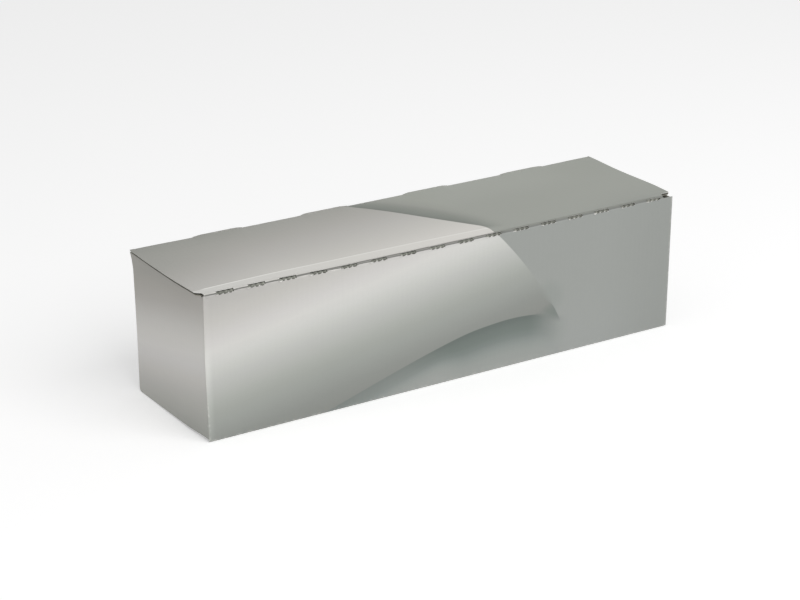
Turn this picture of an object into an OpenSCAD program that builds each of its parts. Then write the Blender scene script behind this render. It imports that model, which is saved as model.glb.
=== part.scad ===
// Sealed carton of aluminium foil: a dispenser box folded from one blank of
// fine-flute corrugated board, closed round its roll and still unopened.
// X runs along the carton, the front panel faces -Y and the lid faces +Z.
// The origin is the centre of the underside.

/* [Carton] */
// Length of the front panel over its two end folds
carton_l = 314; // [240:1:480]
// Depth from the front panel to the back panel
carton_d = 82; // [60:1:120]
// Height from the underside to the top of the lid
carton_h = 84.5; // [60:0.5:120]

/* [Board] */
// Thickness of the corrugated board
board_t = 1.6; // [1.4:0.1:2]
// Thickness of each flat liner of the board
liner_t = 0.25; // [0.2:0.05:0.35]
// Thickness of the wavy medium between the liners
medium_t = 0.2; // [0.15:0.05:0.3]
// Distance from one flute to the next
flute_pitch = 3.2; // [2.6:0.1:4]
// How far the open flutes are hollow behind a raw edge
flute_depth = 3; // [1.5:0.5:6]

/* [Folds] */
// Outer radius of the plain creased folds
fold_r = 2; // [1.7:0.1:2.6]
// Outer radius of the lid's hinge fold along the back
hinge_r = 2.6; // [2:0.1:3.4]
// Outer radius of the tear line's fold along the front
tear_r = 2.4; // [1.6:0.1:2.6]

/* [Tear line] */
// Length of one cut through the board
tear_cut_l = 9.4; // [7:0.1:12]
// Distance from one cut to the next
tear_pitch = 19.1; // [16:0.1:24]
// Width of the score that joins the cuts
score_w = 0.7; // [0.4:0.1:1]

/* [Hinge slits] */
// Length of one slit along the hinge fold
slit_l = 32; // [24:1:40]
// Distance from one slit to the next
slit_pitch = 69.8; // [60:0.2:80]
// Open gap under the raw edge of the lid at a slit
slit_gap = 0.4; // [0.3:0.1:0.6]

/* [Lid] */
// How far the lid reaches past each end flap
lid_overhang = 2.2; // [1:0.1:3]
// Gap between the lid and the top edge of each end flap
lid_gap = 0.6; // [0.4:0.1:1]
// Height of the slope that the die crushed under the lid's side edges
lid_crush = 0.7; // [0.3:0.1:1]
// How far the overhanging edges stop short of the back panel
lid_rear = 0.6; // [0.3:0.1:2]
// Radius of the overhanging edges' rear corners
lid_corner_r = 2; // [1:0.2:2.2]

/* [Corner notches] */
// Where the lid's side edge stops behind the front panel
notch_side = 6; // [5:0.2:8]
// Inner corner of the notch, behind the front panel
notch_back = 4.8; // [3.6:0.2:5]
// Inner corner of the notch, in from the end fold
notch_in = 3.6; // [3:0.2:4.4]
// Where the notch meets the tear line, in from the end fold
notch_fold = 4.6; // [4.5:0.1:6]
// Depth of the dark hollow that shows through the notch
notch_depth = 9; // [4:1:16]

/* [End flaps] */
// Gap under the lower edge of an end flap
flap_foot = 1.7; // [1:0.1:3]
// How far the rear edge of an end flap stops short of the back panel
flap_rear = 0.6; // [0.4:0.1:3]
// Radius of the flap's lower rear corner
flap_low_r = 4; // [2:0.5:8]
// Radius of the flap's upper rear corner
flap_top_r = 1.8; // [1:0.2:4]
// Width of the full-height fold that carries the flap
flap_root = 2.6; // [2.6:0.1:4]

/* [Glued seam] */
// Height of the back panel's raw lower edge above the underside
seam_foot = 1.4; // [0.8:0.1:2.5]

/* [Hidden] */

$fn = 48;
eps = 0.5;
printed_silver = [0.74, 0.75, 0.73];

front_y = -carton_d / 2;
back_y = carton_d / 2;
end_x = carton_l / 2;
tube_end_x = end_x - board_t;
lid_end_x = end_x + lid_overhang;
lid_under_z = carton_h - board_t;
flap_top_z = lid_under_z - lid_gap;
tear_count = floor((carton_l - 2 * notch_fold - tear_cut_l) / tear_pitch) + 1;
slit_count = floor((carton_l - 2 * hinge_r - slit_l) / slit_pitch) + 1;

// Wave of the medium: half its travel, and its mid-plane in the board
wave_a = (board_t - 2 * liner_t - medium_t) / 2;
wave_mid = board_t / 2;
// Share of a flute on each side of its middle that stands open
open_share = 0.38;
wave_steps = 4;

// Positions of n like features, pitch apart and centred on zero
function row(n, pitch) = [for (i = [0:n - 1]) (i - (n - 1) / 2) * pitch];

// Height of the medium's face over x, on the upper or lower side
function wave_y(x, side) = wave_mid + wave_a * cos(360 * x / flute_pitch) * -side + side * medium_t / 2;

// What is cut from a square corner at the origin to leave a round of radius r
module corner_cut(r) {
  difference() {
    translate([-eps, -eps]) square(r + eps);
    translate([r, r]) circle(r);
  }
}

// One open flute in a board's raw edge, seen along the flute
module flute_void(side) {
  reach = open_share * flute_pitch;
  liner_y = wave_mid + side * (board_t / 2 - liner_t);
  polygon(concat(
    [for (i = [0:wave_steps]) let (x = reach * (2 * i / wave_steps - 1)) [x, wave_y(x, side)]],
    [[reach, liner_y], [-reach, liner_y]]
  ));
}

// Every open flute in a raw edge: width runs along X, the board's thickness along Y from 0
module flute_voids(width) {
  whole = width / 2 / flute_pitch - open_share;
  upper = floor(whole);
  lower = floor(whole - 0.5);
  for (i = [-upper:1:upper]) translate([i * flute_pitch, 0]) flute_void(1);
  for (i = [-lower - 1:1:lower]) translate([(i + 0.5) * flute_pitch, 0]) flute_void(-1);
}

// Turns a drawing of (Y, Z) into a bar along X
module along_x(half) {
  rotate([90, 0, 90]) translate([0, 0, -half]) linear_extrude(2 * half) children();
}

// Section of the folded tube: front, underside, back with its glued seam, and lid
module tube_section() {
  difference() {
    translate([front_y, 0]) square([carton_d, carton_h]);
    translate([front_y, 0]) corner_cut(fold_r);
    translate([front_y, carton_h]) mirror([0, 1]) corner_cut(tear_r);
    translate([back_y, carton_h]) rotate(180) corner_cut(hinge_r);
    translate([back_y - board_t, -eps]) square([board_t + eps, seam_foot + eps]);
    translate([back_y - board_t, 0]) mirror([1, 0]) corner_cut(fold_r);
  }
}

// Tube with the folds of the inner flaps rounded at both ends
module tube() {
  intersection() {
    along_x(tube_end_x) tube_section();
    linear_extrude(carton_h) difference() {
      translate([-tube_end_x, front_y]) square([2 * tube_end_x, carton_d]);
      for (s = [0, 1]) mirror([s, 0]) translate([tube_end_x, back_y]) rotate(180) corner_cut(fold_r);
    }
    translate([0, back_y, 0]) rotate([90, 0, 0]) linear_extrude(carton_d) difference() {
      translate([-tube_end_x, 0]) square([2 * tube_end_x, carton_h]);
      for (s = [0, 1]) mirror([s, 0]) translate([tube_end_x, 0]) mirror([1, 0]) corner_cut(fold_r);
    }
  }
}

// Outline of an end flap, with the full-height fold at the front that carries it
module flap_outline() {
  flap_y = back_y - flap_rear;
  difference() {
    translate([front_y, 0]) square([flap_root, lid_under_z]);
    translate([front_y, 0]) corner_cut(fold_r);
  }
  difference() {
    translate([front_y + eps, flap_foot]) square([flap_y - front_y - eps, flap_top_z - flap_foot]);
    translate([flap_y, flap_foot]) mirror([1, 0]) corner_cut(flap_low_r);
    translate([flap_y, flap_top_z]) rotate(180) corner_cut(flap_top_r);
  }
}

// Both end flaps, hinged on the rounded upright folds of the front panel
module end_flaps() {
  intersection() {
    along_x(end_x) flap_outline();
    linear_extrude(carton_h) difference() {
      translate([-end_x, front_y]) square([carton_l, carton_d]);
      for (s = [0, 1]) mirror([s, 0]) translate([-end_x, front_y]) corner_cut(fold_r);
      translate([-tube_end_x + eps, front_y + board_t]) square([2 * (tube_end_x - eps), carton_d]);
    }
  }
}

// Section across one side edge of the lid, crushed to a slope below by the die
module lid_side_section() {
  polygon([
    [tube_end_x - eps, lid_under_z],
    [lid_end_x - lid_crush, lid_under_z],
    [lid_end_x, lid_under_z + lid_crush],
    [lid_end_x, carton_h],
    [tube_end_x - eps, carton_h]
  ]);
}

// The ends of the lid, past the tube and over the end flaps
module lid_ends() {
  rear_y = back_y - lid_rear;
  for (s = [0, 1]) mirror([s, 0, 0]) difference() {
    translate([0, rear_y, 0]) rotate([90, 0, 0]) linear_extrude(rear_y - front_y - notch_side) lid_side_section();
    translate([lid_end_x, rear_y, lid_under_z - eps]) rotate(180)
      linear_extrude(board_t + 2 * eps) corner_cut(lid_corner_r);
  }
}

// Square raw edges of the lid between the hinge creases
module slit_edges() {
  for (x = row(slit_count, slit_pitch))
    translate([x - slit_l / 2, back_y - 2 * hinge_r, carton_h - 2 * hinge_r]) cube([slit_l, 2 * hinge_r, 2 * hinge_r]);
}

// What a hinge slit removes: the gap under the lid's edge, and the flutes that open in it
module slit_cuts() {
  for (x = row(slit_count, slit_pitch)) {
    translate([x - slit_l / 2, back_y - board_t, lid_under_z - slit_gap]) cube([slit_l, board_t + eps, slit_gap]);
    translate([x, back_y + eps, lid_under_z]) rotate([90, 0, 0]) linear_extrude(flute_depth + eps) flute_voids(slit_l);
  }
}

// What the tear line removes: a score along the fold, and cuts that lay the flutes open
module tear_line_cuts() {
  score_at = tear_r * (1 - cos(45));
  translate([0, front_y + score_at, carton_h - score_at]) cube([2 * (end_x - notch_fold), score_w, score_w], center = true);
  for (x = row(tear_count, tear_pitch)) {
    translate([x - tear_cut_l / 2, front_y - eps, lid_under_z]) cube([tear_cut_l, board_t + eps, board_t + eps]);
    translate([x, front_y, lid_under_z - flute_depth]) linear_extrude(flute_depth + eps) flute_voids(tear_cut_l);
    translate([x, front_y + board_t + flute_depth, lid_under_z]) rotate([90, 0, 0])
      linear_extrude(flute_depth + eps) flute_voids(tear_cut_l);
  }
}

// What each front corner of the lid loses, and the hollow that shows behind the board
module notch_cuts() {
  for (s = [0, 1]) mirror([s, 0, 0]) {
    translate([0, 0, lid_under_z]) linear_extrude(board_t + eps) polygon([
      [-lid_end_x - eps, front_y - eps],
      [-lid_end_x - eps, front_y + notch_side],
      [-end_x, front_y + notch_side],
      [-end_x + notch_in, front_y + notch_back],
      [-end_x + notch_fold, front_y + board_t],
      [-end_x + notch_fold, front_y - eps]
    ]);
    translate([0, 0, lid_under_z - notch_depth]) linear_extrude(notch_depth + eps) polygon([
      [-tube_end_x, front_y + board_t],
      [-tube_end_x, front_y + notch_side],
      [-end_x + notch_in, front_y + notch_back],
      [-end_x + notch_fold, front_y + board_t]
    ]);
  }
}

// Flutes that open in the lower raw edge of each end flap
module flap_edge_cuts() {
  width = carton_d - flap_root - flap_rear - flap_low_r;
  middle_y = front_y + flap_root + width / 2;
  for (s = [0, 1]) mirror([s, 0, 0])
    translate([-tube_end_x, middle_y, flap_foot - eps]) rotate(90) linear_extrude(flute_depth + eps) flute_voids(width);
}

module foil_carton() {
  color(printed_silver) difference() {
    union() {
      tube();
      end_flaps();
      lid_ends();
      slit_edges();
    }
    slit_cuts();
    tear_line_cuts();
    notch_cuts();
    flap_edge_cuts();
  }
}

foil_carton();
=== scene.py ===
import bpy
import numpy as np
from mathutils import Matrix, Vector


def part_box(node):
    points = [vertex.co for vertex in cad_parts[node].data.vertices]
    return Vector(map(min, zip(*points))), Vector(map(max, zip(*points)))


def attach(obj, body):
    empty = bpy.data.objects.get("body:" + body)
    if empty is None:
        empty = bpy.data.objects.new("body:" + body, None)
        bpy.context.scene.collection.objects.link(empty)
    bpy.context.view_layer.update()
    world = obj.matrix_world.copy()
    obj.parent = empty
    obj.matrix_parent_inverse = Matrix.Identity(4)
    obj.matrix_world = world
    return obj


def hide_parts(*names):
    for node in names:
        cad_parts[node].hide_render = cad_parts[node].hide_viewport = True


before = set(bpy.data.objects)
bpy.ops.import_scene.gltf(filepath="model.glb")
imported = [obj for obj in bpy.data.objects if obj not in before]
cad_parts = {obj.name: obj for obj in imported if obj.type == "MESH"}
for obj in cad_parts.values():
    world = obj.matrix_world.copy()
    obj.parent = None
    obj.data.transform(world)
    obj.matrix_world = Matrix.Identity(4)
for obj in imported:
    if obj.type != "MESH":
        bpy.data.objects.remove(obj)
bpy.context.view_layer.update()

# The blank and its folds
# One die-cut blank makes the glue tab, underside, front, lid and back, in that order round
# the carton, with flaps at both ends. It is creased, folded square and glued at the tab.
low, high = (np.array(corner) * 1000 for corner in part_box("foil_carton"))
front_y, back_y, carton_h, lid_end_x = low[1], high[1], high[2], high[0]
carton_d = back_y - front_y
lid_overhang = 2.2
end_x = lid_end_x - lid_overhang
board_t, liner_t = 1.6, 0.25
fold_r, tear_r, hinge_r = 2.0, 2.4, 2.6
tab_h, seam_foot = 14.0, 1.4
quarter = np.pi / 2

# The flats and folds in turn, and the length along the blank at which each of them starts
wrap_flats = [
    tab_h - fold_r,
    carton_d - board_t - 2 * fold_r,
    carton_h - fold_r - tear_r,
    carton_d - tear_r - hinge_r,
    carton_h - hinge_r - seam_foot,
]
wrap_radii = [fold_r, fold_r, tear_r, hinge_r]
steps = np.empty(9)
steps[0::2], steps[1::2] = wrap_flats, quarter * np.array(wrap_radii)
stations = np.concatenate([[0.0], np.cumsum(steps)])
tab_fold, under_start, under_end, front_start, front_end = stations[1:6]
lid_start, lid_end, back_start, back_end = stations[6:]

# How far the panels run straight before their end folds: the front's are outermost
front_flat = end_x - fold_r
inner_flat = end_x - board_t - fold_r
unbroken = 1000.0
# Four slits along the hinge, each with a narrow kerf at its ends
slit_centres = np.array([-104.7, -34.9, 34.9, 104.7])
slit_half, slit_kerf = 16.0, 0.3
# The die crushes the lid's side edges, over this width and by this share of their thickness
crush_w, crush_share = 0.7, 0.44
# Where a loose edge of the hinge passes from the lid to the back panel
loose_split = lid_end + 2.8
# Places on the blank closer than this are the same
hair = 0.001


def bent(length, flats, radii):
    """A strip bent to the left at each crease: the place of each length, as a complex number,
    and the angle turned by then. A flat adds its heading times the length run along it, and a
    fold adds r(sin a + i(1 - cos a)) in its heading for the angle a turned within it."""
    place, turned = np.zeros(np.shape(length), complex), np.zeros(np.shape(length))
    start, heading = 0.0, 1 + 0j
    for flat, radius in zip(flats, [*radii, 0]):
        place = place + heading * np.clip(length - start, 0, flat)
        start = start + flat
        if radius:
            angle = np.clip((length - start) / radius, 0, quarter)
            place = place + heading * radius * (np.sin(angle) + 1j * (1 - np.cos(angle)))
            turned = turned + angle
            start = start + quarter * radius
            heading = heading * 1j
    return place, turned


def nearest(x, centres):
    """Distance from each x to the nearest of the centres."""
    return np.abs(np.asarray(x)[..., None] - centres).min(-1)


def rise(x, start, end):
    """0 up to start, 1 from end on, and the S of t * t * (3 - 2t) between them; start may be
    the larger."""
    t = np.clip((x - start) / (end - start), 0, 1)
    return t * t * (3 - 2 * t)


def sharpened(angle, radius, share):
    """How far a fold's surface stands out of its arc at an angle along it: this share of the
    way to the sharp edge where the two panels would meet, r(1 / max(cos a, sin a) - 1)."""
    return share * radius * (1 / np.maximum(np.cos(angle), np.sin(angle)) - 1)


def over_lid(v):
    """True from halfway round the tear line's fold to the back panel."""
    return (v > front_end + tear_r * quarter / 2) & (v < back_start)


def folded(u, v, depth):
    """Blank to carton, in millimetres. v runs round the tube, u along it, and depth inwards
    from the printed face. v is bent round the four long folds; u is bent again at the end
    folds of its panel, and the depth it gains there is measured into the tube. The lid's
    overhang and the raw edges in the hinge slits run straight on instead of round the hinge."""
    u, v, depth = (np.array(a, float) for a in np.broadcast_arrays(u, v, depth))
    reach, on_lid = np.abs(u), over_lid(v)
    depth = depth * (1 - crush_share * on_lid * np.clip((reach - lid_end_x + crush_w) / crush_w, 0, 1))

    in_slit = nearest(u, slit_centres)
    loose = (reach > inner_flat + fold_r + 0.2) | (in_slit < slit_half - slit_kerf / 2)
    past_lid = on_lid & loose & (v > lid_end) & (v < loose_split)
    past_back = on_lid & loose & (v >= loose_split)
    base = np.where(past_lid, lid_end, np.where(past_back, back_start, v))
    place, turned = bent(base, wrap_flats, wrap_radii)
    place = place + 1j ** np.where(past_lid, 3, 4) * (v - base)

    # A raw edge in a slit isn't held down by a crease, so it curls up and reaches a little further
    free = rise(in_slit, slit_half + 1.5, slit_half - 4.5) * on_lid
    stretch = np.where(reach > inner_flat + fold_r, 0.27, 0.3 * free)
    place = place + 1j ** 3 * past_lid * (v - base) * stretch

    # The lid has no end folds, and the front's flaps lie outside those of the other panels
    flat = np.select(
        [v < under_end + hair, on_lid, v < back_start - hair],
        [inner_flat, unbroken, front_flat], inner_flat,
    )
    across, end_turn = bent(reach, [flat, unbroken], [fold_r])
    # The creases of the upright folds are sharp on the outside
    in_fold = np.clip(end_turn, 0, quarter)
    across = across + 1j * np.exp(1j * end_turn) * (depth - sharpened(in_fold, fold_r, 0.8))
    tab_corner = -(back_y - board_t) + 1j * tab_h
    section = tab_corner - 1j * place + np.exp(1j * turned) * across.imag

    # So are the long folds, each by its own share: the tear line's more at the left, where the
    # photograph shows it higher. Between its cuts it is crushed to a groove
    tear_share = 0.15 + 0.5 * np.clip(0.1 - u / end_x, 0, 1)
    creases = (
        (tab_fold, fold_r, 0.7), (under_end, fold_r, 0.7), (front_end, tear_r, tear_share),
        (lid_end, hinge_r, 0.9 * ~(past_lid | past_back)),
    )
    pinch = sum(
        sharpened(np.clip((v - start) / radius, 0, quarter), radius, share)
        for start, radius, share in creases
    )
    groove = 0.32 * np.exp(-(((v - front_end) / tear_r - quarter / 2) / 0.14) ** 2)
    section = section - np.exp(1j * turned) * (pinch - groove)
    return sprung(np.sign(u) * across.real, -section.real, section.imag, u, v, free * ~past_back)


def sprung(x, y, z, u, v, curl):
    """The set and spring of this one carton, as the photograph shows them. Each line adds one
    small move in millimetres, faded in and out along the carton by rise and by powers."""
    reach, on_lid = np.abs(u), over_lid(v)
    on_front = (v > front_start) & (v < front_end)
    on_flap = (v > under_end + hair) & (v < front_end + hair) & (reach > front_flat)
    left_flap, right_flap = on_flap * (u < 0), on_flap * (u > 0)
    to_rear, to_top = np.clip((y - front_y) / 80, 0, 1), np.clip(z / 82, 0, 1)

    # The left end flap springs out at its upper rear corner, and its foot slants down towards
    # the rear. The right one springs out at its foot
    x = x - left_flap * (1.2 * to_rear**2 * to_top**2 + 1.3 * rise(z, 74, 83) * rise(y, 22, 40))
    x = x + 0.9 * right_flap * rise(z, 9, 3) * rise(y, front_y, front_y + 3)
    z = z - 1.94 * left_flap * (v > front_start - hair) * to_rear**0.75 * rise(z, 14, 2)
    # The lid's overhang narrows to the rear
    x = x - on_lid * np.clip(x - end_x, 0, None) * (0.25 + 0.72 * rise(to_rear, 0, 0.625))
    # The carton leans in at its right rear, outwards at the lid's left rear corner, and in at
    # the foot of its front left corner
    x = x - 0.6 * rise(x, 100, 157) * to_rear**2 * to_top**2
    x = x - 0.5 * on_lid * rise(x, -140, -157) * to_rear**4
    x = x + 1.1 * rise(z, 50, 0) * rise(y, front_y + 25, front_y) * rise(x, -90, -150)
    # Board pulled in slightly between the folds, most in the middle of each panel
    sag = 0.3 * np.clip(1 - (u / end_x) ** 2, 0, 1)
    y = y + sag * on_front * np.sin(np.pi * z / carton_h)
    z = z - sag * on_lid * np.sin(np.pi * np.clip((y - front_y) / carton_d, 0, 1))
    z = z + 0.42 * curl * np.clip((v - lid_end + 10) / 12.6, 0, 1) ** 2
    # The board's spring lifts the hinge, most towards the ends
    z = z + (0.42 + 0.3 * rise(reach, 110, 150)) * rise(y, back_y - 30, back_y) * rise(z, 55, 83)
    # The lid droops a little at its right front corner, and stands proud at the left one
    z = z - 0.9 * on_lid * rise(x, 140, 159) * rise(y, front_y + 25, front_y)
    z = z + 1.0 * rise(x, -70, -120) * rise(y, front_y + 35, front_y) * rise(z, 76, 84.5)
    # The left end flap reaches up under the lid, most at its corners
    at_corners = 0.4 * rise(y, front_y + 22, front_y + 4) + rise(y, 12, 38)
    z = z + left_flap * rise(z, 70, 82) * (0.5 + at_corners)
    return np.stack([x, y, z], -1)


# Paper
# What the blank is made of: a coated white liner outside, and recycled grey paper for the
# medium and the inner liner. Cut and torn edges show short fibres and a broken, matt surface.


def ink(red, green, blue):
    """A printed colour given in 0 to 255, as the linear colour that Blender works in."""
    value = np.array([red, green, blue]) / 255
    linear = np.where(value <= 0.04045, value / 12.92, ((value + 0.055) / 1.055) ** 2.4)
    return (*linear.tolist(), 1.0)


class Field:
    """A number that changes over the surface, held as a node's output. Each sum, product,
    limit or curve of it adds one node."""

    def __init__(self, output):
        self.output = output

    def _node(self, kind, terms, **settings):
        tree = self.output.id_data
        node = tree.nodes.new(kind)
        for key, value in settings.items():
            setattr(node, key, value)
        for socket, term in zip(node.inputs, terms):
            if isinstance(term, Field):
                tree.links.new(term.output, socket)
            else:
                socket.default_value = term
        return Field(node.outputs[0])

    def _math(self, operation, *terms):
        return self._node("ShaderNodeMath", terms, operation=operation)

    def __add__(self, other):
        return self._math("ADD", self, other)

    def __sub__(self, other):
        return self._math("SUBTRACT", self, other)

    def __rsub__(self, other):
        return self._math("SUBTRACT", other, self)

    def __mul__(self, other):
        return self._math("MULTIPLY", self, other)

    def __truediv__(self, other):
        return self._math("DIVIDE", self, other)

    __radd__, __rmul__ = __add__, __mul__

    def at_most(self, other):
        return self._math("MINIMUM", self, other)

    def at_least(self, other):
        return self._math("MAXIMUM", self, other)

    def size(self):
        return self._math("ABSOLUTE", self)

    def root(self):
        return self._math("SQRT", self)

    def cosine(self):
        return self._math("COSINE", self)

    def within(self, pitch):
        """Distance to the nearest multiple of the pitch."""
        return self._math("PINGPONG", self, pitch / 2)

    def rise(self, start, end):
        """0 up to start, 1 from end on, and a smooth S between them; start may be the larger."""
        return self._node("ShaderNodeMapRange", (self, start, end), interpolation_type="SMOOTHSTEP")

    def colours(self, *stops):
        """The field looked up in a row of stops, each a value and the red, green and blue there."""
        tree = self.output.id_data
        first, last = stops[0][0], stops[-1][0]
        ramp = tree.nodes.new("ShaderNodeValToRGB")
        tree.links.new(((self - first) / (last - first)).output, ramp.inputs[0])
        while len(ramp.color_ramp.elements) < len(stops):
            ramp.color_ramp.elements.new(1)
        for element, (value, *colour) in zip(ramp.color_ramp.elements, stops):
            element.position = (value - first) / (last - first)
            element.color = ink(*colour)
        return ramp.outputs[0]


def blended(tree, blend, amount, under, over):
    """under with over blended onto it; each of the last three is a value or a node's output."""
    node = tree.nodes.new("ShaderNodeMix")
    node.data_type, node.blend_type = "RGBA", blend
    for socket, given in ((node.inputs["Factor"], amount), (node.inputs[6], under), (node.inputs[7], over)):
        if isinstance(given, bpy.types.NodeSocket):
            tree.links.new(given, socket)
        else:
            socket.default_value = given
    return node.outputs[2]


def mixed(amount, under, over):
    """under with over laid on it by the field amount."""
    return blended(amount.output.id_data, "MIX", amount.output, under, over)


def toned(tree, colour, tone):
    """A colour multiplied by a tone field."""
    grey = tree.nodes.new("ShaderNodeCombineColor")
    for socket in grey.inputs:
        tree.links.new(tone.output, socket)
    return blended(tree, "MULTIPLY", 1.0, colour, grey.outputs[0])


def on_object(tree):
    """Object coordinates in a material, in metres."""
    return tree.nodes.new("ShaderNodeTexCoord").outputs["Object"]


def noise(tree, at, scale, detail=2.0, stretch=None):
    """A noise field around 0.5 on the given coordinates, stretched along an axis if asked."""
    if stretch:
        mapping = tree.nodes.new("ShaderNodeMapping")
        mapping.inputs["Scale"].default_value = stretch
        tree.links.new(at, mapping.inputs["Vector"])
        at = mapping.outputs[0]
    node = tree.nodes.new("ShaderNodeTexNoise")
    node.inputs["Scale"].default_value = scale
    node.inputs["Detail"].default_value = detail
    tree.links.new(at, node.inputs["Vector"])
    return Field(node.outputs[0])


def made_fibres():
    """Paper fibres, for every paper here: a fine and a coarse mottle. Tone is the mottle
    around 1, by Contrast, and Height is the relief in millimetres, by Relief."""
    tree = bpy.data.node_groups.new("paper fibres", "ShaderNodeTree")
    for name, value in (("Contrast", 0.05), ("Relief", 0.01)):
        socket = tree.interface.new_socket(name, in_out="INPUT", socket_type="NodeSocketFloat")
        socket.default_value = value
    for name in ("Tone", "Height"):
        tree.interface.new_socket(name, in_out="OUTPUT", socket_type="NodeSocketFloat")
    given, out = tree.nodes.new("NodeGroupInput"), tree.nodes.new("NodeGroupOutput")
    at = on_object(tree)
    strands = noise(tree, at, 1400, 3, stretch=(0.35, 1.0, 1.0))
    mottle = noise(tree, at, 260, 4)
    both = strands * 0.6 + mottle * 0.4 - 0.5
    tree.links.new((both * Field(given.outputs[0]) + 1.0).output, out.inputs["Tone"])
    tree.links.new((both * Field(given.outputs[1])).output, out.inputs["Height"])
    return tree


paper_fibres = made_fibres()


def fibres_in(tree, contrast, relief):
    """The paper fibres placed in a material, as its tone and height fields."""
    group = tree.nodes.new("ShaderNodeGroup")
    group.node_tree = paper_fibres
    group.inputs["Contrast"].default_value = contrast
    group.inputs["Relief"].default_value = relief
    return Field(group.outputs["Tone"]), Field(group.outputs["Height"])


def new_finish(name):
    """An empty material with one Principled shader, and its tree."""
    finish = bpy.data.materials.new(name)
    finish.use_nodes = True
    return finish, finish.node_tree, finish.node_tree.nodes["Principled BSDF"]


def put_relief(tree, shader, height):
    """Drives the shader's normal by a height field in millimetres."""
    bump = tree.nodes.new("ShaderNodeBump")
    bump.inputs["Distance"].default_value = 0.001
    tree.links.new(height.output, bump.inputs["Height"])
    tree.links.new(bump.outputs[0], shader.inputs["Normal"])


def pulp_patches(tree):
    """Where unprinted paper is the darker of its two tones."""
    return noise(tree, on_object(tree), 90, 3).rise(0.35, 0.65)


def raw_paper(name, light, dark, contrast, relief):
    """Unprinted paper: two close tones mottled by its fibres, matt."""
    finish, tree, shader = new_finish(name)
    tone, height = fibres_in(tree, contrast, relief)
    patches = pulp_patches(tree)
    tree.links.new(toned(tree, mixed(patches, light, dark), tone), shader.inputs["Base Color"])
    tree.links.new((0.8 + 0.15 * patches).output, shader.inputs["Roughness"])
    shader.inputs["Specular IOR Level"].default_value = 0.25
    put_relief(tree, shader, height)
    return finish


white_paper = raw_paper("white paper", ink(240, 239, 235), ink(226, 225, 220), 0.2, 0.05)
grey_paper = raw_paper("recycled paper", ink(160, 158, 148), ink(138, 136, 127), 0.3, 0.05)

# Printed outer liner
# The smooth face of the board: white paper 0.25 mm thick, printed with silver and grey inks
# and sealed with a satin varnish, then glued to the flutes, creased, perforated and folded.
flap_reach = 79.4
flap_end = front_flat + quarter * fold_r + flap_reach
lid_rear = carton_h + carton_d
flute_pitch = 3.2


def printed_at(u, v):
    """Where a point of the blank lies in the artwork: u along the carton and on round its end
    folds, v up the front from the underside and on over the lid, both as if every fold were sharp."""
    v_art = np.interp(v, stations, [
        -carton_d - tab_h, -carton_d - fold_r, -carton_d + fold_r + board_t, -fold_r, fold_r,
        carton_h - tear_r, carton_h + tear_r, lid_rear - hinge_r, lid_rear + hinge_r,
        lid_rear + carton_h - seam_foot,
    ])
    u_art = np.sign(u) * np.interp(
        np.abs(u), [0, front_flat, front_flat + quarter * fold_r, flap_end],
        [0, front_flat, end_x + fold_r, end_x + fold_r + flap_reach],
    )
    return np.stack([np.where(over_lid(v), u, u_art), v_art], -1)


def on_blank(tree):
    """The artwork's coordinates in a material, in millimetres: the pair, and u and v apart."""
    blank = tree.nodes.new("ShaderNodeUVMap")
    blank.uv_map = "blank"
    split = tree.nodes.new("ShaderNodeSeparateXYZ")
    tree.links.new(blank.outputs[0], split.inputs[0])
    return blank.outputs[0], Field(split.outputs[0]), Field(split.outputs[1])


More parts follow.
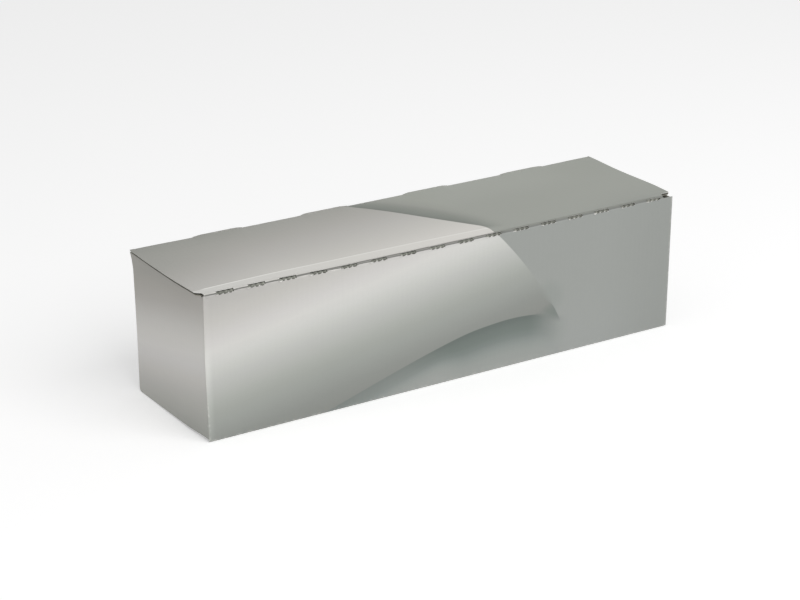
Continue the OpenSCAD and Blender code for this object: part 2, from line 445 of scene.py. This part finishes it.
def front_print(u, v):
    """Print of the front panel and the left end flap: its colour, and where it is silver. The
    silver field is lit along a ridge that climbs from the left, and its tone follows the height
    over that ridge."""
    past_fold = u + end_x
    climb = past_fold.at_least(0)
    ridge = 51.5 + 0.24 * past_fold.at_most(0) + 0.17 * climb + 0.00012 * climb * climb
    silver = (v - ridge).colours(
        (-66, 139, 141, 136), (-54, 145, 148, 143), (-48, 152, 155, 150), (-42, 159, 162, 157),
        (-36, 165, 168, 162), (-30, 174, 177, 171), (-24, 184, 186, 181), (-18, 193, 194, 190),
        (-12, 203, 204, 199), (-6, 212, 212, 208), (0, 217, 216, 212), (6, 212, 210, 207),
        (18, 198, 196, 191), (30, 185, 183, 179), (42, 168, 166, 162),
    )
    flap_silver = (v - ridge).colours(
        (-50, 160, 161, 155), (-42, 169, 170, 164), (-30, 184, 184, 178), (-24, 192, 191, 186),
        (-16, 205, 203, 198), (-8, 214, 212, 209), (-1, 218, 216, 212), (6, 214, 212, 207),
        (14, 204, 202, 197), (26, 180, 177, 171), (34, 171, 168, 161), (40, 164, 162, 155),
        (52, 160, 158, 151),
    )
    silver = mixed(past_fold.rise(0.4, -0.4), silver, flap_silver)

    # It ends below in a long curve, and at the right in a steeper one
    bow = (u - 42) / 40
    curve = 30 - 13 * ((1 + bow * bow).root() - 1) - 3 * u.rise(60, 75) - 0.7 * u.rise(8, 32)
    above = v - curve
    up_edge = v - 20
    right_edge = 76.3 - 0.476 * up_edge - 0.00393 * up_edge * up_edge + 0.9 * v.rise(37, 29)
    beyond = u - right_edge
    edge_blur = 0.35 + 3.5 * v.rise(31, 37) * v.rise(50, 44)
    curve_blur = 0.3 + 2.5 * u.rise(56, 66)
    in_silver = (above / curve_blur).rise(-1, 1) * (beyond / edge_blur).rise(1, -1)
    # It darkens into its tip, where the steep edge shows again below
    tip_u, tip_v = (u - 73) / 14, (v - 25) / 10
    tip = (tip_u * tip_u + tip_v * tip_v).rise(1.0, 0.05)
    silver = mixed(tip * 0.9, silver, ink(125, 132, 127))

    # Grey beyond it, shaded under the curve, less deeply towards the left, and beside the soft
    # part of the steep edge
    below = (0 - above) * (1 + 0.6 * u.rise(12, -15))
    shade = below.colours(
        (0, 100, 109, 104), (2, 104, 113, 108), (4, 109, 118, 113), (8, 115, 124, 119),
        (10, 121, 130, 125), (12, 126, 134, 130), (14, 136, 143, 139), (17, 147, 153, 149),
        (21, 156, 160, 156), (28, 163, 166, 162),
    )
    plain = v.colours((0, 162, 165, 162), (40, 159, 162, 158), (84, 157, 160, 156))
    plain = mixed(u.rise(98, 157) * 0.8, plain, ink(151, 154, 150))
    shaded = u.rise(84, 52) * (1 - 0.35 * u.rise(5, -40))
    grey = mixed(shaded * below.rise(-3, 0), plain, shade)
    soft_u, soft_v = (u - 68) / 13, (v - 37) / 13
    beside = (soft_u * soft_u + soft_v * soft_v).rise(1.0, 0.0)
    grey = mixed(beside * 0.45, grey, ink(144, 150, 145))
    return mixed(in_silver, grey, silver), in_silver


def rounded(first, second, radius):
    """Distance outside both of two edges, given the distance outside each, where they meet in
    a corner of this radius: the length of (first + radius, second + radius) past 0, less radius."""
    a, b = first + radius, second + radius
    a_out, b_out = a.at_least(0), b.at_least(0)
    return a.at_least(b).at_most(0) + (a_out * a_out + b_out * b_out).root() - radius


def lid_print(u, v):
    """Print of the lid, which runs on down the back: its colour, and where it is silver. The
    silver field goes on from the front and ends in a slanting edge, bowed at the rear, with a
    rounded corner at the tear line."""
    y = v - (carton_h + carton_d / 2)
    rear = (y - 10).at_least(0)
    slanted = (u + 0.65 * y + 0.0065 * rear * rear.at_most(31) - 11.4) / 1.193
    outside = rounded(slanted, u - 31.3 - 0.2 * (y + 28), 3.5)
    in_silver = outside.rise(0.3, -0.3)
    tone = 181.2 + 0.12 * (u + 50) - 0.74 * y + 0.2 * (u + 105).at_most(0) * y.rise(30, 5)
    silver = tone.colours(
        (135, 134, 135, 128), (149, 149, 149, 142), (165, 166, 164, 158), (180, 181, 179, 174),
        (195, 196, 194, 188), (210, 212, 209, 203),
    )
    # A pale band runs along its front, with a thin bright line behind it
    band_bow = (u + 60) / 90
    behind = y + 30 + 2 * band_bow * band_bow + 0.9 * u.rise(-75, -125)
    pale = u.colours((-157, 207, 206, 201), (-60, 215, 213, 207), (35, 219, 216, 210))
    silver = mixed(behind.rise(0.3, -0.3), silver, pale)
    bright = behind.size().rise(0.75, 0.15) * (0.75 + 0.2 * u.rise(-60, -120)) * u.rise(-155, -151)
    silver = mixed(bright, silver, ink(236, 236, 231))
    # Grey beyond, shaded close to the edge except near the tear line
    shade = outside.colours(
        (0, 100, 105, 97), (1.2, 109, 114, 106), (5, 118, 123, 115), (8, 124, 129, 120),
        (12, 135, 138, 130), (17, 149, 151, 143), (26, 156, 159, 150),
    )
    plain = mixed(y.rise(0, 30) * u.rise(150, 90), ink(152, 155, 147), ink(159, 162, 154))
    # Painted shade at the lid's right front corner, where it droops
    plain = mixed(y.rise(-10, -38) * u.rise(70, 157), plain, ink(145, 148, 141))
    grey = mixed(y.rise(-25, -36).at_least(u.rise(22, 44) * 0.8), shade, plain)
    return mixed(in_silver, grey, silver), in_silver


def crushed_and_shaded_fold(art, broken, u, v, on_lid):
    """The print with the tear line's crease on it, crushed between the cuts, with painted shade
    in and beside it: a fine dark line at the left, a grey band of crushed print and painted shade
    with dark rims in the middle, and a faint line at the right. The band lies where the height
    off the fold is under half its width."""
    right_part = u.rise(27, 40)
    waver = 0.35 - 0.65 * u.rise(-120, -75) + 0.25 * u.rise(-75, -30) + 0.7 * right_part
    off_fold = v - carton_h + waver
    band_half = 0.2 + 0.7 * u.rise(-125, -45) - 0.5 * right_part
    strength = (1 - 0.22 * right_part) * u.size().rise(159, 155)
    # The band in the crease: crushed print and painted shade
    crushed_band_shade = off_fold.rise(-0.3 - band_half, 0 - band_half)
    crushed_band_shade = crushed_band_shade * off_fold.rise(band_half + 0.35 + 2.9 * right_part, band_half - 0.6 * right_part)
    # Soft painted shade beside the crease: on the front below it, and on the lid above it
    crease_side_shade = (v - carton_h).rise(-3.4, -0.8) * (1 - on_lid) * (1 - right_part) * u.rise(-90, 0)
    crease_side_shade = crease_side_shade * 0.15 + 0.09 * off_fold.rise(5, 0.6) * on_lid * (1 - right_part)
    # Dark rims along the band: painted shade, broken up by the noise
    rim_shade = (off_fold.size() - band_half).size().rise(0.45, 0.1) * (1 - right_part)
    art = mixed(crease_side_shade, art, ink(110, 110, 105))
    art = mixed(crushed_band_shade * strength * 0.78, art, ink(80, 80, 75))
    return mixed(rim_shade * strength * (0.12 + 0.66 * broken), art, ink(54, 54, 49))


def printed_finish():
    """Silver and grey print, with painted shade along the tear line and a painted highlight beside
    the left fold, on the artwork's coordinates: u along the carton and on round the end folds, v up
    the front and on over the lid and down the back."""
    finish, tree, shader = new_finish("printed liner")
    blank, u, v = on_blank(tree)
    at = on_object(tree)
    on_lid = v.rise(carton_h - 0.05, carton_h + 0.05)
    front, front_silver = front_print(u, v)
    lid, lid_silver = lid_print(u, v)
    broken = noise(tree, at, 420, 3)
    art = crushed_and_shaded_fold(mixed(on_lid, front, lid), broken, u, v, on_lid)
    # Ink rubbed thin and cracked pale along the other folds
    rubbed = (u.size() - end_x).size().rise(1.7, 0.2) * (1 - on_lid)
    rubbed = rubbed.at_least((v - lid_rear).size().rise(2.0, 0.3))
    rubbed = rubbed.at_least(v.size().rise(1.7, 0.3))
    art = mixed(rubbed * (0.1 + 0.5 * broken.rise(0.45, 0.8)), art, ink(208, 208, 203))

    # The flutes show through as faint upright bands, and handling leaves faint clouds
    flute = (u * (2 * np.pi / flute_pitch)).cosine()
    clouds = noise(tree, at, 14, 3)
    tone, fibre = fibres_in(tree, 0.05, 0.008)
    tone = tone * (1 + 0.003 * flute) * (0.985 + 0.03 * clouds)
    brushed = noise(tree, blank, 1.6, 2, stretch=(0.03, 1.0, 1.0))
    tone = tone * (1 + 0.03 * (brushed - 0.5) * front_silver * (1 - on_lid))
    # Painted highlight beside the left fold, where the front bulges a little: paler, most in its lower half
    past_fold = u + end_x
    bulge_highlight = past_fold.rise(-0.6, 0.6) * past_fold.rise(4.6, 1.2) * (1 - on_lid)
    tone = tone * (1 + bulge_highlight * (0.04 + 0.11 * v.rise(58, 36)))
    tree.links.new(toned(tree, art, tone), shader.inputs["Base Color"])
    foil = front_silver * (1 - on_lid) + lid_silver * on_lid
    roughness = 0.52 - 0.08 * foil + 0.12 * (clouds - 0.5) + 0.2 * rubbed
    tree.links.new((0.22 * foil + 0.06).output, shader.inputs["Metallic"])
    tree.links.new(roughness.output, shader.inputs["Roughness"])
    shader.inputs["Coat Roughness"].default_value = 0.35
    shader.inputs["Coat Weight"].default_value = 0.12
    put_relief(tree, shader, fibre + 0.005 * flute + 0.02 * broken * rubbed)
    return finish


printed_liner = printed_finish()

# The tear line's cuts, and the rows of its fold that they open
tear_pitch, tear_half, tear_cuts, tear_shift = 19.1, 5.2, 16, -0.5
tear_centres = (np.arange(tear_cuts) - (tear_cuts - 1) / 2) * tear_pitch + tear_shift
tear_rows = np.linspace(front_end, lid_start, 13)
cut_from, cut_to = tear_rows[1], tear_rows[9]
# Where the lid's corner notches start along the tear line, and the row that they run back to
left_notch, right_notch = end_x - 0.9, end_x - 6.8
notch_row = lid_start + 3.0
# Columns of the end folds, the root of the flap beyond them, and rows of the hinge fold
end_fold = front_flat + np.linspace(0, quarter * fold_r, 9)
flap_root = end_fold[-1] + 0.6
hinge_rows = np.linspace(lid_end, back_start, 9)
# Below this the back panel has no end flap
low_back = back_start + carton_h - hinge_r - 16

# The grid of the blank, close where the board bends or is cut
half_columns = np.concatenate([
    [inner_flat, inner_flat + 0.8], end_fold, [lid_end_x - crush_w, flap_root],
    np.linspace(lid_end_x, flap_end, 17),
])
columns = np.unique(np.round(np.concatenate([
    half_columns, -half_columns, [-left_notch, 3.6 - left_notch, right_notch],
    (tear_centres[:, None] + np.linspace(-tear_half, tear_half, 13)).ravel(),
    tear_centres[:-1] + tear_pitch / 2,
    (slit_centres[:, None] + [-slit_half, slit_kerf - slit_half, slit_half - slit_kerf, slit_half]).ravel(),
]), 4))
front_rows = front_start + np.r_[0, 0.15, 0.5, 1.2, 2.3, 4, 9, 16:65:8, 71, 76, 78.3, 79.2, 79.8]
rows = np.unique(np.round(np.concatenate([
    [0, tab_fold / 2], np.linspace(tab_fold, under_start, 7), np.linspace(under_start, under_end, 8),
    np.linspace(under_end, front_start, 9), front_rows, tear_rows, [lid_start + 0.6, notch_row],
    np.linspace(notch_row, lid_end, 11), hinge_rows, np.linspace(back_start, low_back, 8),
    np.linspace(low_back, back_end, 3),
]), 9))
blank_v, blank_u = (grid.copy() for grid in np.meshgrid(rows, columns, indexing="ij"))
reach = np.abs(blank_u)


def row_at(v):
    """Index of the row nearest v."""
    return int(np.abs(rows - v).argmin())


def cut_edges(u):
    """The lower and upper edge of a cut, along the blank. Teeth of the perforating knife leave
    each lower edge in three lobes, |1 - |2t - 1||^0.8 deep for t running 0 to 1 over a lobe.
    The cuts gape at the left and close towards the right."""
    cut = np.abs(u[..., None] - tear_centres).argmin(-1)
    lobe = (u - tear_centres[cut] + tear_half) / (2 * tear_half / 3)
    fold_mid = (front_end + lid_start) / 2
    lower = -0.9 - 0.28 * rise(u, -65, -15) - 0.5 * np.abs(1 - np.abs(2 * (lobe % 1) - 1)) ** 0.8
    upper = 0.55 - 0.0027 * u + 0.12 * (1 - np.abs(2 * ((lobe + 0.5) % 1) - 1))
    return fold_mid + lower, fold_mid + upper


# The rows between a cut's edges are moved to follow them
first_row, last_row = row_at(cut_from), row_at(cut_to)
in_cut = nearest(columns, tear_centres) < tear_half + hair
lower, upper = cut_edges(columns)
for row in range(first_row, last_row + 1):
    share = (row - first_row) / (last_row - first_row)
    blank_v[row, in_cut] = (lower + share * (upper - lower))[in_cut]

# The lid's corner notches run from the tear line back to its side edges: the left one is short
# and deep, the right one long and shallow, as the photograph shows
y_of_row = front_y + tear_r + (blank_v - lid_start)
at_notch = (blank_v >= cut_to - hair) & (blank_v <= notch_row + hair) & (reach > right_notch - hair)
notch_v = rows[row_at(notch_row)]
for side, notch_u, slant, setback, drop in (
    (-1, left_notch, 0.3, 3.5, 2.5),
    (1, right_notch, 1.9, 5.0, 1.0),
):
    corner = at_notch & (np.abs(blank_u - side * notch_u) < hair)
    blank_u[corner] += side * slant * np.clip((y_of_row[corner] - front_y - 1.6) / 3.4, 0, 1)
    edge = (blank_v == notch_v) & (side * blank_u >= notch_u - hair)
    run = np.clip((side * blank_u[edge] - notch_u - slant) / (lid_end_x - notch_u - slant), 0, 1)
    blank_v[edge] = lid_start - tear_r + setback + drop * run

# Rounded corners of the end flaps, and of the lid's overhang at the rear
flap_low_r, flap_top_r = 2.2, 0.8
z_of_row = fold_r + blank_v - front_start
near_foot = np.clip(flap_low_r - (z_of_row - fold_r), 0, flap_low_r)
near_head = np.clip(flap_top_r - (carton_h - tear_r - z_of_row), 0, flap_top_r)
low_inset = flap_low_r - np.sqrt(flap_low_r**2 - near_foot**2)
top_inset = flap_top_r - np.sqrt(flap_top_r**2 - near_head**2)
on_flap = (blank_v >= front_start - hair) & (blank_v <= front_end + hair) & (reach > lid_end_x - hair)
along_flap = (reach - lid_end_x) / (flap_end - lid_end_x)
blank_u -= np.sign(blank_u) * on_flap * (low_inset + top_inset) * along_flap
rear_w, rear_inset = 1.3, 0.6
near_rear = np.clip((blank_v - lid_end) / (hinge_rows[4] - lid_end), 0, 1) ** 4
near_rear = near_rear * (blank_v > lid_end) * (blank_v < hinge_rows[4] + hair) * (reach > end_x - rear_w)
blank_u -= np.sign(blank_u) * rear_inset * near_rear * (reach - end_x + rear_w) / (lid_overhang + rear_w)

# Up to each of these places along v, the blank reaches this far from its middle: the tab, the
# underside, the front, the lid and the back, whose low edge reaches no further than its fold
cell_v, cell_u = np.meshgrid((rows[:-1] + rows[1:]) / 2, (columns[:-1] + columns[1:]) / 2, indexing="ij")
cell_reach = np.abs(cell_u)
notch = np.where(cell_u < 0, left_notch, right_notch)
tab_reach, under_reach, back_reach = np.minimum(notch, end_x - 5.9), 169.5, 226.0
flap_stop = np.where(cell_u < 0, tear_rows[5], tear_rows[3])
outline = (
    (under_start, tab_reach), (under_end, under_reach), ((under_end + front_start) / 2, inner_flat),
    (front_start, end_fold[4]), (front_end, flap_end), (flap_stop, flap_root), (notch_row, notch),
    (hinge_rows[4], lid_end_x), (back_start, end_fold[1]), (low_back, back_reach),
)
limits, reaches = zip(*outline)
keep = cell_reach < np.select([cell_v < limit for limit in limits], reaches, end_fold[4])
# The overhang is cut free of the hinge fold, and each slit has a kerf at its ends and a gap
# along it
in_hinge = (cell_v > lid_end) & (cell_v < back_start)
in_slit = nearest(cell_u, slit_centres)
cut_free = (cell_reach > end_fold[1]) & (cell_reach < end_fold[2])
in_kerf = (in_slit > slit_half - slit_kerf) & (in_slit < slit_half) & (cell_v > hinge_rows[3])
in_gap = (in_slit < slit_half) & (cell_v > hinge_rows[5]) & (cell_v < hinge_rows[7])
keep &= ~(in_hinge & (cut_free | in_kerf | in_gap))
cut_open = (nearest(cell_u, tear_centres) < tear_half) & (cell_v > cut_from) & (cell_v < cut_to)


def put_shell(name, outer, inner, keep, blank, finishes):
    """A sheet with thickness on a grid of rows and columns: each kept cell once on its outer
    and once on its inner face, and a wall along each edge where a kept cell meets none. The
    outer faces take the first finish, the rest the last. blank goes to the UV map of that name."""
    n_rows, n_columns = keep.shape[0] + 1, keep.shape[1] + 1
    under = n_rows * n_columns
    ids = np.arange(under).reshape(n_rows, n_columns)
    i, j = np.nonzero(keep)
    top = np.stack([ids[i, j], ids[i, j + 1], ids[i + 1, j + 1], ids[i + 1, j]], -1)
    edged = np.pad(keep, 1)
    walls = []
    for cell, beyond, first, second in (
        (edged[1:, 1:-1], edged[:-1, 1:-1], (0, 0), (0, 1)),
        (edged[:-1, 1:-1], edged[1:, 1:-1], (0, 1), (0, 0)),
        (edged[1:-1, 1:], edged[1:-1, :-1], (1, 0), (0, 0)),
        (edged[1:-1, :-1], edged[1:-1, 1:], (0, 0), (1, 0)),
    ):
        i, j = np.nonzero(cell & ~beyond)
        a, b = ids[i + first[0], j + first[1]], ids[i + second[0], j + second[1]]
        walls.append(np.stack([b, a, a + under, b + under], -1))
    faces = np.concatenate([top, top[:, ::-1] + under, *walls])
    used, faces = np.unique(faces, return_inverse=True)
    faces = faces.reshape(-1, 4)
    points = np.concatenate([outer.reshape(-1, 3), inner.reshape(-1, 3)])[used] / 1000
    art = np.concatenate([blank.reshape(-1, 2)] * 2)[used]

    mesh = bpy.data.meshes.new(name)
    mesh.from_pydata(points, [], faces)
    mesh.uv_layers.new(name="blank").uv.foreach_set("vector", art[faces.ravel()].astype(np.float32).ravel())
    for finish in finishes:
        mesh.materials.append(finish)
    hidden = (np.arange(len(faces)) >= len(top)).astype(np.int32)
    mesh.polygons.foreach_set("material_index", hidden * (len(finishes) - 1))
    mesh.shade_smooth()
    mesh.set_sharp_from_angle(angle=np.radians(38))
    mesh.update()
    piece = bpy.data.objects.new(name, mesh)
    bpy.context.scene.collection.objects.link(piece)
    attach(piece, "root")
    return piece


printed = put_shell(
    "printed_liner", folded(blank_u, blank_v, 0), folded(blank_u, blank_v, liner_t),
    keep & ~cut_open, printed_at(blank_u, blank_v), [printed_liner, white_paper],
)
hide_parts("foil_carton")

# Inner liner
# The plain recycled paper on the inside of the board, cut and folded with the rest of it. It
# shows in the hinge slits, the notches and along the raw edges, and it closes the cuts of the
# tear line behind the medium.
put_shell(
    "inner_liner", folded(blank_u, blank_v, board_t - liner_t), folded(blank_u, blank_v, board_t),
    keep, printed_at(blank_u, blank_v), [grey_paper],
)

# Wavy medium
# The fluted sheet glued between the liners, 3.2 mm from wave to wave. It is modelled for a
# few millimetres behind every raw edge that lays it open: the slits, flaps, lid and seam. The
# tear line's fold crushes it to a lower wave, which shows in every cut.
medium_t, flute_depth = 0.2, 4.5
wave_mid, wave_a = board_t / 2, (board_t - 2 * liner_t - medium_t) / 2


def fluted_finish():
    """The recycled paper of the medium, with painted shade down in its flutes and painted shadow
    along the edges of the tear line's cuts."""
    finish, tree, shader = new_finish("fluted paper")
    _, u, v = on_blank(tree)
    tone, height = fibres_in(tree, 0.35, 0.05)
    # Painted shade in the troughs of the flutes
    trough_shade = (u * (2 * np.pi / flute_pitch)).cosine().rise(-0.2, 1.0)
    off_cut = (u - float(tear_centres[0])).within(tear_pitch)
    lobe = off_cut.within(2 * tear_half / 3) / (tear_half / 3)
    low_edge = carton_h - 1.15 - 0.36 * u.rise(-65, -15) - 0.64 * (1 - lobe)
    high_edge = carton_h + 0.7 - 0.0034 * u
    # Painted shadow along the lower and upper edge of each cut, at its ends and between its lobes
    cut_edge_shadow = (v - low_edge).rise(0.65, 0.25).at_least((high_edge - v).rise(0.75, 0.25))
    cut_edge_shadow = cut_edge_shadow.at_least(off_cut.rise(tear_half - 0.7, tear_half - 0.2)).at_least(lobe.rise(0.7, 1.0))
    cut_edge_shadow = cut_edge_shadow * (v - carton_h).size().rise(3.0, 2.6)
    dark = (0.3 * trough_shade).at_least(cut_edge_shadow * (0.44 + 0.06 * u.rise(-100, -30)))
    paper = mixed(pulp_patches(tree), ink(161, 162, 153), ink(143, 144, 136))
    # Both painted shades darken the paper towards one dark grey
    paper = mixed(dark, paper, ink(59, 62, 58))
    tree.links.new(toned(tree, paper, tone), shader.inputs["Base Color"])
    shader.inputs["Roughness"].default_value = 0.9
    shader.inputs["Specular IOR Level"].default_value = 0.2
    put_relief(tree, shader, height)
    return finish


def strip(u_start, u_end, v_start, v_end):
    """Columns an eighth of a flute apart from u_start to u_end, each with nine points from
    v_start to v_end."""
    count = int(np.ceil((u_end - u_start) / flute_pitch * 8)) + 1
    across, along = np.linspace(v_start, v_end, 9), np.linspace(u_start, u_end, count)
    return np.meshgrid(across, along, indexing="ij")[::-1]


def side_by_side(strips):
    """Strips set in one grid, with the cells that join one to the next left out."""
    joined_u, joined_v = (np.concatenate(part, 1) for part in zip(*strips))
    keep = np.ones((joined_u.shape[0] - 1, joined_u.shape[1] - 1), bool)
    keep[:, np.cumsum([strip_u.shape[1] for strip_u, _ in strips])[:-1] - 1] = False
    return joined_u, joined_v, keep


# Along the tear line and the seam, under both edges of each slit, and at each end along the
# flap's foot and top, the lid's side edge and the flap's rear edge
tear_reach, flap_start = end_x - 7.2, end_fold[-1] + 0.8
raw_edges = [
    strip(-tear_reach, tear_reach, cut_from - 2.5, cut_to + 2.5),
    strip(-inner_flat, inner_flat, back_end - flute_depth, back_end - 0.05),
]
for centre in slit_centres:
    ends = centre - slit_half + 0.4, centre + slit_half - 0.4
    raw_edges.append(strip(*ends, lid_end - 2, lid_end + 2.5))
    raw_edges.append(strip(*ends, back_start - 0.48, back_start + 3.5))
for side in (-1, 1):
    for u_near, u_far, v_start, v_end in (
        (flap_start, flap_end - 2.4, front_start + 0.05, front_start + flute_depth),
        (flap_start, flap_end - 2.0, front_end - flute_depth, front_end - 0.05),
        (end_x - 1.1, lid_end_x - 0.1, notch_row + 0.6, lid_end + 0.4),
        (flap_end - 3.2, flap_end - 0.1, front_start + 2.4, front_end - 2.0),
    ):
        raw_edges.append(strip(*sorted((side * u_near, side * u_far)), v_start, v_end))
medium_u, medium_v, medium_keep = side_by_side(raw_edges)
crushed = rise(medium_v, cut_from - 0.48, cut_from + 1.12) * rise(medium_v, cut_to + 1.2, cut_to)
crushed = crushed * (np.abs(medium_u) < end_x)
wave = np.cos(2 * np.pi * medium_u / flute_pitch)
wave_depth = wave_mid + 0.05 * crushed + wave_a * (1 - 0.4 * crushed) * wave
medium_outer = folded(medium_u, medium_v, wave_depth - medium_t / 2)
medium_inner = folded(medium_u, medium_v, wave_depth + medium_t / 2)
put_shell(
    "wavy_medium", medium_outer, medium_inner, medium_keep, printed_at(medium_u, medium_v), [fluted_finish()]
)

# Torn fibres
# The knife tears the white liner where a cut ends: small curls of paper stand out of the
# lower edge of each cut, the largest at its left end. They are part of the liner itself.
curl_places, curl_widths, curl_lengths = [-4.7, -1.5, 1.8, 4.6], [1.15, 0.6, 0.5, 0.4], [1.2, 0.9, 0.8, 0.6]
n_curls, n_along, n_across = tear_cuts * len(curl_places), 7, 5
dice = np.random.default_rng(7)
curl_u = (tear_centres[:, None] + curl_places).ravel() + dice.uniform(-0.35, 0.35, n_curls)
curl_w = np.tile(curl_widths, tear_cuts) * dice.uniform(0.5, 1.1, n_curls)
curl_l = np.tile(curl_lengths, tear_cuts) * dice.uniform(0.5, 1.4, n_curls)
curl_r = dice.uniform(0.28, 0.5, n_curls)
lean = dice.uniform(-0.9, 0.1, n_curls)

# The foot of each curl, and the directions up the board and out of it there
root_v, step = cut_edges(curl_u)[0] - 0.1, 0.01
curl_foot = folded(curl_u, root_v, 0.02)
up = (folded(curl_u, root_v + step, 0.02) - curl_foot) / step
out = (curl_foot - folded(curl_u, root_v, 0.02 + step)) / step
along = np.linspace(0, 1, n_along)[:, None, None]
across = np.linspace(-1, 1, n_across)[None, None, :]
ragged = 1 + 0.25 * np.sin(9 * along + 11 * curl_u[None, :, None])


def curls(lift):
    """Each curl is a tongue that rises along the board and rolls over outwards: its middle line
    turns by the angle length / radius, its width falls to a ragged point, and lift raises the
    face off it for the thickness."""
    bend = along * (curl_l / curl_r)[None, :, None]
    radius = curl_r[None, :, None] + lift
    risen = radius * np.sin(bend)
    stand_out = curl_r[None, :, None] - radius * np.cos(bend) + 0.03
    wide = curl_w[None, :, None] * (1.03 - along) ** 0.55 * ragged * across
    wide = wide + lean[None, :, None] * along * 0.9
    points = (
        curl_foot[None, :, None, :] + risen[..., None] * up[None, :, None, :]
        + stand_out[..., None] * out[None, :, None, :] + wide[..., None] * np.array([1.0, 0, 0])
    )
    return points.reshape(n_along, -1, 3)


curl_keep = np.ones((n_along - 1, n_curls * n_across - 1), bool)
curl_keep[:, n_across - 1::n_across] = False
curl_blank = np.zeros((n_along, n_curls * n_across, 2)) + [0.0, carton_h]
put_shell("torn_fibres", curls(-0.05), curls(0.05), curl_keep, curl_blank, [white_paper])

# Floor, light and camera
# A plain white table under a large soft lamp in front and above, with a pale sky all round.
# The camera is the one that fits the seven visible corners of the carton. All in metres.
floor_mesh = bpy.data.meshes.new("floor")
floor_mesh.from_pydata([(-4, -3, 0), (4, -3, 0), (4, 6, 0), (-4, 6, 0)], [], [(0, 1, 2, 3)])
floor = bpy.data.objects.new("floor", floor_mesh)
bpy.context.scene.collection.objects.link(floor)


def seen_directly(tree):
    """1 for camera, glossy and transmitted rays, 0 for the rays that light other things."""
    path = tree.nodes.new("ShaderNodeLightPath")
    camera, glossy, through = (
        Field(path.outputs[name]) for name in ("Is Camera Ray", "Is Glossy Ray", "Is Transmission Ray")
    )
    return camera.at_least(glossy).at_least(through)


white_table = bpy.data.materials.new("white table")
white_table.use_nodes = True
tree = white_table.node_tree
tree.nodes.clear()
matt, glow = tree.nodes.new("ShaderNodeBsdfDiffuse"), tree.nodes.new("ShaderNodeEmission")
summed, surface = tree.nodes.new("ShaderNodeAddShader"), tree.nodes.new("ShaderNodeOutputMaterial")
matt.inputs["Color"].default_value = (0.86, 0.86, 0.86, 1)
tree.links.new((seen_directly(tree) * 0.35).output, glow.inputs["Strength"])
tree.links.new(matt.outputs[0], summed.inputs[0])
tree.links.new(glow.outputs[0], summed.inputs[1])
tree.links.new(summed.outputs[0], surface.inputs["Surface"])
floor_mesh.materials.append(white_table)

sky = bpy.data.worlds.new("pale sky")
sky.use_nodes = True
sky_strength = 0.47
tree = sky.node_tree
backdrop = tree.nodes["Background"]
backdrop.inputs["Color"].default_value = (1, 1, 1, 1)
brightness = sky_strength + (1 - sky_strength) * seen_directly(tree)
tree.links.new(brightness.output, backdrop.inputs["Strength"])
bpy.context.scene.world = sky

lamp_data = bpy.data.lights.new("soft lamp", "AREA")
lamp_data.shape, lamp_data.size, lamp_data.size_y, lamp_data.energy = "RECTANGLE", 1.6, 1.2, 13.4
lamp = bpy.data.objects.new("soft lamp", lamp_data)
lamp_from, lamp_at = Vector((0.2, -1.12, 1.15)), Vector((0, 0, 0.04))
lamp_turn = (lamp_at - lamp_from).to_track_quat("-Z", "Y").to_matrix().to_4x4()
lamp.matrix_world = Matrix.Translation(lamp_from) @ lamp_turn
bpy.context.scene.collection.objects.link(lamp)

azimuth, elevation, roll = np.radians([-32.62, 21.80, 0.31])
distance, aim = 1.279, Vector((-0.0086, 0.0, 0.0376))
away = Vector((np.sin(azimuth), -np.cos(azimuth), 0)) * np.cos(elevation) + Vector((0, 0, np.sin(elevation)))
level = Vector((0, 0, 1)).cross(away).normalized()
upright = away.cross(level)
right = level * np.cos(roll) + upright * np.sin(roll)
top = upright * np.cos(roll) - level * np.sin(roll)
camera_turn = Matrix((right, top, away)).transposed().to_4x4()
camera_data = bpy.data.cameras.new("camera")
camera_data.sensor_width, camera_data.lens = 36.0, 99.55
camera = bpy.data.objects.new("camera", camera_data)
camera.matrix_world = Matrix.Translation(aim + away * distance) @ camera_turn
bpy.context.scene.collection.objects.link(camera)
bpy.context.scene.camera = camera
bpy.context.scene.view_settings.view_transform = "Standard"
